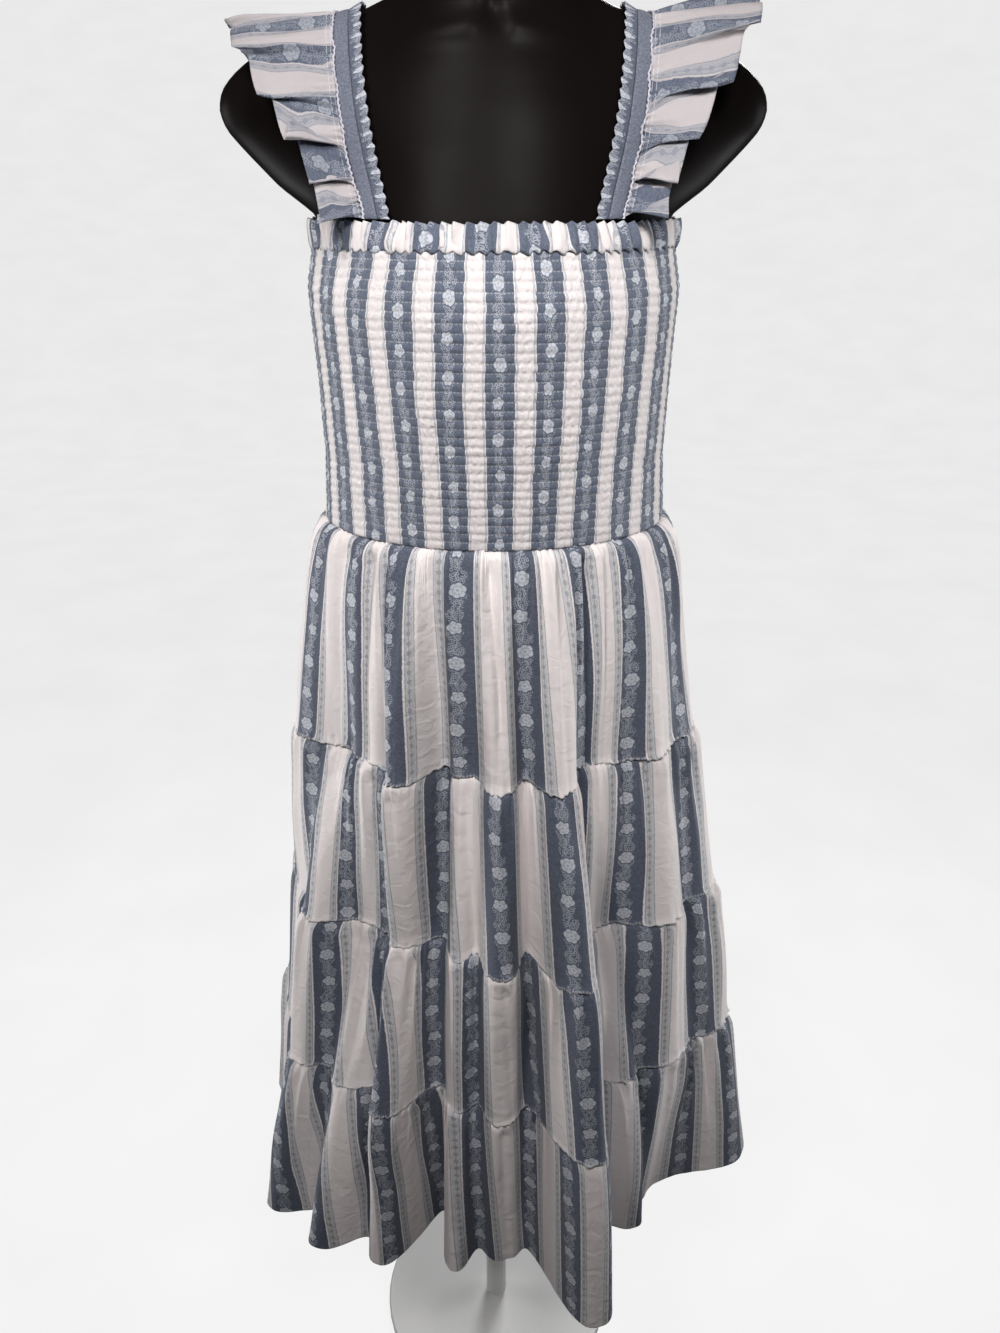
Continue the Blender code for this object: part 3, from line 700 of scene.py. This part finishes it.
tierSettings = {
    "columns": {"front": 420, "back": 360}, "rows": 32,
    "puff": (0.0095, 0.0035, 0.0035, 0.0040),
    "fullness": (0.90, 0.88, 0.88, 0.88),  # back panels: printed width over the width in the large folds
    "backShift": (0.02, 0.0, 0.03, 0.01),
    "fineMm": 6.5, "fine": 0.0012,         # pinches right at the seam
    "softMm": 24.0, "soft": 0.0036,        # folds that run on down from them
    "sway": 0.0026, "crease": 0.0009,
    "lip": 0.0016, "lipPucker": 0.0008,    # the turned edge above a seam
    "puckerMm": 6.8, "pucker": 0.0006,
    # the first sets how high above the edge the pale line on a seam's lip lies: stitching, with a painted
    # highlight of the ridge
    "stitchAndHighlightUp": 0.0014, "hemUp": 0.011, "hemStep": 0.0006,
    "jog": (0.0018, 0.0014, 0.0011),       # small rises and drops along a seam, slow to quick
    "drift": 0.0015, "swing": 0.0012,      # how far the print is pulled about
    "cutWider": 1.02, "cutLonger": 1.03,
    # main creases of the front panels by tier: azimuth at top and bottom, depth in mm, spread in degrees
    "pleats": (
        ((-47, -50, 8.5, 2.2), (-41, -43, 4.0, 1.4), (-60, -64, 4.0, 2.0), (-24, -23, 4.0, 1.8),
         (-2, 4.5, 6.0, 1.6), (3.5, 1, 4.5, 1.3), (22, 23, 2.5, 1.2), (34, 38, 9.0, 2.2),
         (41, 44, 4.0, 1.4), (60, 62, 5.0, 2.0)),
        ((-47, -46, 3.0, 2.0), (-33, -29, 3.0, 1.8), (-12, -6, 3.5, 1.8), (9, 11, 3.0, 1.6),
         (31, 33, 4.0, 2.0), (62, 61, 3.0, 2.0)),
        ((-49, -46, 5.0, 2.0), (-28, -30, 5.5, 1.8), (-15, -14, 4.5, 1.6), (3, 5, 4.5, 1.6),
         (16, 18, 4.0, 1.4), (36, 34, 5.5, 2.0), (62, 62, 4.5, 2.0)),
        ((-68, -70, 6.0, 2.2), (-50, -52, 7.0, 2.0), (-39, -41, 7.0, 1.8), (-26, -24, 8.0, 2.0),
         (-16, -14, 7.0, 1.5), (2, 4, 6.5, 1.6), (13, 14, 6.0, 1.3), (34, 33, 9.0, 2.4),
         (49, 51, 6.0, 1.8), (60, 60, 6.0, 2.0), (72, 73, 5.0, 1.8)),
    ),
}

# Where each blue stripe's middle lies on the front panels: repeat, azimuth at the top, at the bottom
frontStripes = (
    ((-1, -90, -90), (0, -72, -73), (1, -52, -57), (2, -37, -34), (3, -13, -14), (4, 10, 13),
     (5, 31, 36), (6, 51, 51), (7, 68, 74), (8, 90, 91)),
    ((-1.3, -90, -90), (0, -71, -65), (1, -55, -54), (2, -42, -41), (3, -24, -19), (4, 0, 4),
     (5, 20, 20), (7, 50, 49), (8, 72, 71), (9, 90, 90)),
    ((-2.2, -90, -90), (0, -57, -55), (1, -42, -33), (2, -24, -22), (3, -7, -7), (4, 12, 13),
     (5, 20, 21), (7, 53, 50), (8, 72, 71), (9.2, 90, 90)),
    ((-3, -90, -90), (0, -56, -47), (1, -41, -36), (2, -32, -29), (3, -25, -22), (4, -7, -3),
     (5, 11, 12), (6, 17, 17), (7, 26, 25), (9, 53, 48), (10, 67, 67), (11, 76, 75), (12.1, 90, 90)),
)


def evenTurns(start, height, columns):  # azimuths that lie evenly along the folds, and the panel's width
    azimuth = np.radians(start) + np.linspace(0, math.pi, 1441)
    run = arcLengths(ringPoints(azimuth, skirtRadius(azimuth, height), height))
    found = np.interp(np.linspace(0, run[-1], columns + 1), run, azimuth)
    found[0] += 0.001
    found[-1] -= 0.001
    return found, run[-1]


def stripePlaces(number, azimuth, top, bottom):
    # metres across the printed cloth, at the top and at the bottom of a front panel
    ends = []
    for place, height in ((1, top - 0.02), (2, bottom)):
        run = arcLengths(ringPoints(azimuth, skirtRadius(azimuth, height), height))
        knots = np.interp(np.radians([row[place] for row in frontStripes[number]]), azimuth, run)
        repeats = [row[0] for row in frontStripes[number]]
        across = np.interp(run, knots, repeats) * (cottonLook["repeatMm"] / 1000)
        window = np.hanning(15)
        before, after = 2 * across[0] - across[7:0:-1], 2 * across[-1] - across[-2:-9:-1]
        padded = np.concatenate([before, across, after])
        ends.append(np.convolve(padded, window / window.sum(), "valid"))
    return ends


def seamJog(number, azimuth):  # small rises and drops of the seam at the top of a tier
    around = np.asarray(azimuth) * 9.0 + 40
    slow, middling, quick = tierSettings["jog"]
    jog = slow * softNoise(around * 1.6, number * 2.3, 91)
    jog = jog + middling * softNoise(around * 5.0, number * 1.7, 92)
    jog = jog + quick * softNoise(around * 13.0, number * 3.1, 93)
    return jog * (0 < number < 4) * smoothStep(np.abs(np.cos(azimuth)) * 14)


def makeTier(number, half):
    s = tierSettings
    seamed = number < 3  # the last tier ends in a hem
    ends = [seams["waist"], seams["tier1"], seams["tier2"], seams["tier3"], seams["hem"]]
    top, bottom = ends[number], ends[number + 1] + (pieceGap if seamed else 0)
    columns = s["columns"][half]
    azimuth, width = evenTurns(panelStarts[half], bottom, columns)
    seed = 100 + number * 10 + (half == "back") * 5
    # rows get closer where they round the seam's lip
    lipRows = 1 - np.array([0.0036, 0.0022, 0.0010]) / (top - bottom)
    evenRows = np.linspace(0, 1, s["rows"] + 1)[:-1] ** 1.6
    share = np.concatenate([[-0.02], evenRows, lipRows, [1]])[:, None]
    run = np.linspace(0, width, columns + 1)[None, :]
    edge = panelEdges(columns + 1)[None, :]
    height = blendTo(top, bottom, share)
    down = np.clip(share, 0, 1)
    jogTop, jogBottom = seamJog(number, azimuth)[None, :], seamJog(number + 1, azimuth)[None, :]
    nearSeam = np.maximum(np.exp(-down / 0.08), np.exp(-(1 - down) / 0.08))
    height = height + blendTo(jogTop, jogBottom, smoothStep(down)) * nearSeam

    # Gathers at the seam above, and the folds that they open into
    puff = s["puff"][number] * np.sin(math.pi * down**0.45) - 0.0022 * (share < 0)
    pull = width / (0.42 + 0.06 * number)  # narrow seams carry more gathers
    fine = np.cos(gatherTurn(run, s["fineMm"] / 1000, 6.0 * softNoise(run / 0.02, down * 1.5, seed)))
    fineSize = np.clip(0.65 + 0.8 * softNoise(run / 0.017, 0.7, seed + 1), 0.1, 1.5)
    tucked = np.exp(-down / 0.03)  # right at the seam no gather stands out past it
    fine = s["fine"] * (fine - 1.3 * tucked) * np.exp(-(down / 0.10) ** 1.3) * fineSize * pull * 0.8
    turn = gatherTurn(run, s["softMm"] / 1000, 5.0 * softNoise(run / 0.07, down * 0.35, seed + 2))
    softWave = np.cos(turn + 0.5 * np.sin(turn))
    softSize = 0.75 + 0.7 * softNoise(run / 0.06, 0.1, seed + 3)
    soft = s["soft"] * softWave * softSize * np.exp(-down / 0.42) * smoothStep(down / 0.12 + 0.25)
    sway = s["sway"] * softNoise(run / 0.045, down * 1.9, seed + 4) * smoothStep(down * 3)
    crease = s["crease"] * softNoise(run / 0.013 + down * 1.4, down * 3.1, seed + 7)
    crease = crease * smoothStep(down * 4)
    hem = s["hemStep"] * np.exp(-((height - bottom - s["hemUp"]) / 0.0012) ** 2) * (not seamed)

    # The turned edge above the seam below, puckered where the next tier is gathered into it
    aboveLip = np.clip(height - bottom - jogBottom, 0, 1)
    lip = np.exp(-((aboveLip - 0.0012) / 0.0022) ** 2) * seamed
    pucker = np.cos(gatherTurn(run, s["puckerMm"] / 1000, 5.0 * softNoise(run / 0.016, 0.9, seed + 8)))
    puckerSize = np.clip(0.5 + 1.1 * softNoise(run / 0.024, 0.4, seed + 9), 0, 1.4)
    seamTurn = (s["lip"] + s["lipPucker"] * pucker * puckerSize) * lip
    seamTurn = seamTurn + s["pucker"] * pucker * puckerSize * edge * np.exp(-(1 - down) / 0.06) * seamed
    pleats = 0
    for atTop, atBottom, depthMm, spread in s["pleats"][number] if half == "front" else ():
        turnDeg = np.degrees(azimuth[None, :]) - blendTo(atTop, atBottom, down)
        pleat = depthMm / 1000 * np.exp(-np.abs(turnDeg / spread) ** 1.4)
        pleats = pleats - pleat * smoothStep(down * 9) * (1 - 0.55 * down)
    radius = skirtRadius(azimuth[None, :], height) + puff + edge * (fine + soft + sway + crease)
    radius = radius - hem + seamTurn + pleats
    points = ringPoints(azimuth[None, :], radius, height)

    # The printed cloth
    if half == "front":
        topPlaces, bottomPlaces = stripePlaces(number, azimuth, top, bottom)
        across = blendTo(topPlaces[None, :], bottomPlaces[None, :], down)
    else:
        across = (run - width / 2) * s["fullness"][number] + s["backShift"][number]
    wander = s["drift"] * softNoise(run / 0.05, down * 1.3, seed + 6)
    wander = wander + s["swing"] * np.sin(turn) * np.exp(-down / 0.25)
    flat = pairs(across + wander * edge, (top - height) * s["cutWider"] + number * 0.013)
    # the pale line sits on the lip just above the seam below: stitching, with a painted highlight of the
    # ridge
    aboveSeam = np.clip((aboveLip - s["stitchAndHighlightUp"]) / 0.018, 0, 0.5) if seamed else 0.5
    rows = pairs(run, aboveSeam + 0 * height)
    name = f"tier{number + 1}{half.title()}"
    piece = clothMesh(name, points, flat, rows, blooms=flowerPlaces(points, flat))
    dress(piece, tierCotton, f"tier_{number + 1}_{half}")


for number in range(4):
    for half in panelStarts:
        makeTier(number, half)
print("skirt made")


# Straps over the shoulders

strapSettings = {
    "width": 0.0105, "footX": 0.0875, "topX": 0.109, "centreY": 0.008, "gap": 0.0010,
    "columns": 180, "rows": 6, "wall": 0.0012, "cloth": 0.0008, "thinCloth": 0.0006,
    "crown": 0.0005, "rib": 0.00025, "ribPitch": 0.0055, "cutLonger": 1.05,
}
frillSettings = {
    "columns": 330, "rows": 7, "width": 0.0085, "pitch": 0.0085, "wave": 0.0019, "notch": 0.0010,
    "printWidth": 0.0095, "printFrom": -0.0112, "gather": 3.7,
    "cutWidth": 0.010, "cutLonger": 1.3,
}
ruffleSettings = {
    "columns": 480, "rows": 28, "foot": 0.029, "top": 0.080,  # its width at the feet and on the shoulder
    "waves": 11, "wave": 0.0100, "lean": 0.0115, "topWave": {"Left": 0.55, "Right": 1.0},
    "lift": math.radians(14), "topLift": {"Left": math.radians(-9), "Right": math.radians(3.5)},
    "rootPitch": 0.0046, "root": 0.0013,  # gathers in the stitched edge
    "fineDown": 0.012, "finePitch": 0.011, "fine": 0.0011,  # and those that they run into
    "flutter": 0.0034, "pinch": 0.0050, "drift": 0.0028,
    "gather": 1.8,
    # where the blue stripes' middles lie, in degrees of the sweep from the front foot over the shoulder
    "stripes": {"Left": (5, 25, 49, 65, 76), "Right": (7, 36, 53, 70.5, 83)},
}
threadSettings = {
    "columns": 419, "sides": 6, "radius": 0.00066, "twist": 0.0002, "twistPitch": 0.0034, "proud": 0.0027,
    "waver": 0.0011, "stitch": 0.0004, "stitchPitch": 0.0044,
}


def shoulderReach(x, sweep):  # distance from the strap feet's line to the form, by halving
    x, sweep = np.broadcast_arrays(x, sweep)
    near, far = np.zeros(x.shape), np.full(x.shape, 0.25)
    for _ in range(22):  # to well under a micrometre
        middle = (near + far) / 2
        y = strapSettings["centreY"] - np.cos(sweep) * middle
        z = seams["bandTop"] + np.sin(sweep) * middle
        inside = (z < formRings[-1, 0]) & (np.hypot(x, y) < formRadius(np.arctan2(x, -y), z))
        near, far = np.where(inside, middle, near), np.where(inside, far, middle)
    return far


def overShoulder(x, sweep, gap):
    # the highest of the places round about, smoothed along the sweep as pulled cloth lies
    shifts = [(aside, turn) for aside in (-0.003, 0.003) for turn in (-0.08, 0.0, 0.08)]
    reach = np.max([shoulderReach(x + aside, sweep + turn) for aside, turn in shifts], 0)
    window = np.hanning(13)
    window = window / window.sum()
    padded = np.pad(reach, [(0, 0)] * (reach.ndim - 1) + [(6, 6)], mode="edge")
    smooth = np.apply_along_axis(np.convolve, -1, padded, window, "valid")
    still = np.zeros(reach.shape)
    outward = np.stack([still, -np.cos(sweep) + still, np.sin(sweep) + still], -1)
    foot = seams["bandTop"] + pieceGap
    start = np.stack([x + still, strapSettings["centreY"] + still, foot + still], -1)
    return start + outward * (smooth + gap)[..., None], outward


def strapMiddle(sweep):
    return blendTo(strapSettings["footX"], strapSettings["topX"], np.sin(sweep))


def mirrored(points, side):
    return points if side > 0 else points * np.array([-1, 1, 1])


def makeStrap(hand, side):
    s = strapSettings
    sweep = np.linspace(0, math.pi, s["columns"] + 1)[None, :]
    share = np.linspace(-0.5, 0.5, s["rows"] + 1)[:, None]
    points, outward = overShoulder(strapMiddle(sweep) + share * s["width"], sweep, s["gap"])
    run = arcLengths(points[s["rows"] // 2])[None, :]
    ribs = np.cos(gatherTurn(run, s["ribPitch"], 3 * softNoise(run / 0.02, share, 31)))
    crown = s["crown"] * (1 - (2 * share) ** 2) + s["rib"] * ribs
    points = points + outward * (s["wall"] + crown)[..., None]
    flat = pairs(share * s["width"], run * 1.3)
    points = mirrored(points, side)
    piece = clothMesh(f"strap{hand}", points, flat, thickness=s["cloth"], flipped=side < 0)
    dress(piece, blueCotton, f"strap_{hand.lower()}")


def makeFrill(hand, side):
    s = frillSettings
    sweep = np.linspace(0, math.pi, s["columns"] + 1)[None, :]
    share = np.linspace(0, 1, s["rows"] + 1)[:, None]
    x = strapMiddle(sweep) - strapSettings["width"] / 2 - pieceGap - share * s["width"]
    points, outward = overShoulder(x, sweep, strapSettings["gap"])
    run = arcLengths(points[s["rows"] // 2])[None, :]
    turn = gatherTurn(run, s["pitch"], 2.5 * softNoise(run / 0.02, 0.2, 41 + side))
    wave = np.cos(turn) * (0.7 + 0.5 * softNoise(run / 0.013, 0.6, 43 + side))
    stand = strapSettings["wall"] + s["wave"] * share * (1.1 + wave) * 0.6
    points = points + outward * stand[..., None]
    points[..., 0] += s["notch"] * share**2 * (1 - np.abs(np.cos(turn / 2)) * 2)
    flat = pairs(share * s["printWidth"] + s["printFrom"], run * s["gather"])  # half of a blue stripe
    thin = strapSettings["thinCloth"]
    piece = clothMesh(f"strapFrill{hand}", mirrored(points, side), flat, thickness=thin, flipped=side > 0)
    dress(piece, stripedCotton, f"strap_frill_{hand.lower()}")


def makeRuffle(hand, side):
    s = ruffleSettings
    sweep = np.linspace(0, math.pi, s["columns"] + 1)[None, :]
    share = np.linspace(0, 1, s["rows"] + 1)[:, None] ** 1.25
    x = strapMiddle(sweep) + strapSettings["width"] / 2 + pieceGap
    root, outward = overShoulder(x, sweep, strapSettings["gap"])
    run = arcLengths(root[0])[None, :]
    tangent = np.gradient(root[0], axis=0)
    tangent = (tangent / np.linalg.norm(tangent, axis=1)[:, None])[None, :, :]
    width = blendTo(s["foot"], s["top"], np.sin(sweep) ** 3)
    phase = 2 * s["waves"] * sweep + 0.9 * softNoise(sweep * 5, 0.1, 53 + side)
    ripple = np.sin(phase + 0.7 * np.sin(phase))
    width = width * (1 + 0.04 * softNoise(sweep * 6, 0.5, 51 + side) + 0.035 * ripple)
    lift = blendTo(s["lift"], s["topLift"][hand], np.sin(sweep) ** 2)
    size = 0.85 + 0.35 * softNoise(sweep * 7, 0.4, 57 + side)
    size = size * blendTo(1, s["topWave"][hand], np.sin(sweep) ** 4)

    # How far it stands off the shoulder, and how far its waves lean along the strap
    out = share * width
    wave = s["wave"] * share**0.85 * size * (1 + ripple)
    rooted = gatherTurn(run, s["rootPitch"], 4 * softNoise(run / 0.012, 0.3, 59 + side))
    wave = wave + s["root"] * np.cos(rooted) * np.exp(-share * width / 0.009)
    wave = wave + s["flutter"] * share * softNoise(sweep * 13, share * 2.6, 55 + side)
    gathers = gatherTurn(run, s["finePitch"], 4 * softNoise(run / 0.03, share * 0.5, 65 + side))
    gathers = s["fine"] * np.cos(gathers) * (out / s["fineDown"])
    wave = wave + gathers * np.exp(1 - out / s["fineDown"])
    leaning = np.tanh(3 * np.cos(sweep))
    slide = s["lean"] * share**0.8 * size * (-leaning * ripple + 0.85 * np.cos(phase + 0.5 * share))
    sideways = np.stack(np.broadcast_arrays(np.cos(lift), 0.0, 0.0), -1)
    sideways = sideways + outward * np.sin(lift)[..., None]
    points = root + sideways * (width * share)[..., None]
    points = points + outward * (wave + strapSettings["wall"])[..., None] + tangent * slide[..., None]

    # The printed cloth
    pinch = s["pinch"] * softNoise(run / 0.006, share * 0.7, 63 + side) * np.exp(-share * width / 0.012)
    pinch = pinch + s["drift"] * softNoise(run / 0.03, share * 3.0, 67 + side)
    places = np.interp(np.radians(s["stripes"][hand]), sweep[0], run[0])
    repeats = np.arange(len(places)) * cottonLook["repeatMm"] / 1000
    across = np.interp(run, places, repeats)
    across = across - (places[0] - np.minimum(run, places[0])) * s["gather"]
    across = across + (np.maximum(run, places[-1]) - places[-1]) * s["gather"]
    flat = pairs(across + pinch, out)
    rows = pairs(run, np.minimum(0.4 + share * width / 0.0030, 2.5))
    piece = clothMesh(
        f"strapRuffle{hand}", mirrored(points, side), flat, rows, strapSettings["thinCloth"],
        flipped=side < 0, blooms=flowerPlaces(points, flat),
    )
    dress(piece, shadedRuffleCotton, f"strap_ruffle_{hand.lower()}")


def makeStitchedLine(hand, side):  # thick pale thread that holds the ruffle to the strap
    s = threadSettings
    sweep = np.linspace(0, math.pi, s["columns"] + 1)[None, :]
    x = strapMiddle(sweep) + strapSettings["width"] / 2
    middle, outward = overShoulder(x, sweep, strapSettings["gap"])
    run = arcLengths(middle[0])[None, :]
    around = np.linspace(0, 2 * math.pi, s["sides"] + 1)[:, None]
    twist = s["radius"] + s["twist"] * np.cos(2 * math.pi * run / s["twistPitch"])
    points = middle + outward * (s["proud"] + np.sin(around) * twist)[..., None]
    waver = s["waver"] * softNoise(run / 0.009, 0.0, 61 + side)
    stitches = s["stitch"] * np.sin(2 * math.pi * run / s["stitchPitch"])
    points[..., 0] += np.cos(around) * twist * 1.2 + waver + stitches
    flat = points[..., :2]
    piece = clothMesh(f"stitchedLine{hand}", mirrored(points, side), flat, thickness=0, flipped=side > 0)
    piece.data.materials.append(cottonThread)
    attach(piece, "root")


for hand, side in (("Left", -1), ("Right", 1)):
    makeStrap(hand, side)
    makeFrill(hand, side)
    makeRuffle(hand, side)
    makeStitchedLine(hand, side)
print("straps made")


# Studio: pale round floor that curves up into the backdrop on all sides, soft lights, camera

studioSettings = {
    "floorColour": "#F2F2F2", "floorGlow": 0.93, "floorReturn": 0.18,
    "floorRadius": 5.0, "bendRadius": 2.0, "top": 6.0,
    "cameraPlace": (0.005, -0.88, 1.32), "pitchDown": 25.0, "lens": 27.7, "sensorMm": 36,
    "world": "#E9EAEC", "worldStrength": 0.04,
}


def makeBackdrop():
    s = studioSettings
    bend = np.linspace(0, math.pi / 2, 16)
    outer = s["floorRadius"] + s["bendRadius"]
    reach = np.concatenate([[0.05], s["floorRadius"] + s["bendRadius"] * np.sin(bend), [outer]])
    height = np.concatenate([[0], s["bendRadius"] * (1 - np.cos(bend)), [s["top"]]])
    points = ringPoints(np.linspace(0, 2 * math.pi, 97)[None, :], reach[:, None], height[:, None])
    made, tree = newMaterial("matt studio paper")  # rolled paper, quite matt
    add = partial(addNode, tree)
    multiply = {"out": 2, "data_type": "RGBA", "blend_type": "MULTIPLY"}
    grain = add("TexNoise", {"Scale": 60.0, "Detail": 2.0})
    tint = add("MapRange", [grain, 0.3, 0.7, 0.97, 1.0])
    paper = add("Mix", {0: 1.0, 6: linearColour(s["floorColour"]), 7: tint}, **multiply)
    dimmed = add("Mix", {0: 1.0, 6: paper, 7: (s["floorReturn"],) * 3 + (1.0,)}, **multiply)
    shader = add("BsdfPrincipled", {
        "Base Color": dimmed, "Roughness": 0.95, "Specular IOR Level": 0.1,
        "Emission Color": paper, "Emission Strength": s["floorGlow"],
    })
    add("OutputMaterial", [shader])
    floor = clothMesh("backdrop", points, points[..., :2], thickness=0, flipped=True)
    floor.data.materials.append(made)
    floor.visible_diffuse = False  # a real floor this bright would be far off, so it throws nothing back
    floor.visible_glossy = False


def makeLight(name, place, target, size, power, colour, spread=180):
    lamp = bpy.data.lights.new(name, "AREA")
    lamp.shape = "DISK"
    lamp.size = size
    lamp.spread = math.radians(spread)
    lamp.energy = power
    lamp.color = linearColour(colour)[:3]
    holder = bpy.data.objects.new(name, lamp)
    bpy.context.scene.collection.objects.link(holder)
    holder.location = place
    x, y, z = np.array(target) - np.array(place)
    holder.rotation_euler = (math.atan2(math.hypot(x, y), -z), 0, math.atan2(-x, y))


makeBackdrop()
makeLight("keyLight", (-0.50, -1.05, 2.25), (0, 0, 1.15), 0.40, 4.5, "#FFFCFA", 95)
makeLight("frontLight", (0.14, -0.74, 1.74), (0, 0, 1.12), 0.25, 2.1, "#FFFDFC", 110)
for hand, side in (("left", -1), ("right", 1)):
    makeLight(f"{hand}Light", (1.8 * side, 0.5, 1.2), (0, 0, 1.0), 0.9, 2.8, "#FFFFFF", 120)
    # low, as light that a floor sends back
    makeLight(f"{hand}LowLight", (1.3 * side, 0.15, 0.45), (0, 0, 1.35), 0.6, 4.0, "#FFFFFF", 100)
makeLight("backLight", (0.4, 1.7, 1.9), (0, 0, 0.95), 0.8, 12, "#FFFFFF", 120)

world = bpy.data.worlds.new("studio air")
bpy.context.scene.world = world
world.use_nodes = True
air = world.node_tree.nodes["Background"]
air.inputs["Color"].default_value = linearColour(studioSettings["world"])
air.inputs["Strength"].default_value = studioSettings["worldStrength"]

camera = bpy.data.objects.new("camera", bpy.data.cameras.new("camera"))
bpy.context.scene.collection.objects.link(camera)
camera.data.sensor_fit = "VERTICAL"
camera.data.sensor_height = studioSettings["sensorMm"]
camera.data.lens = studioSettings["lens"]
camera.location = studioSettings["cameraPlace"]
camera.rotation_euler = (math.radians(90 - studioSettings["pitchDown"]), 0, 0)
bpy.context.scene.camera = camera
bpy.context.scene.view_settings.view_transform = "Standard"  # plain photographic tones
print("studio made")
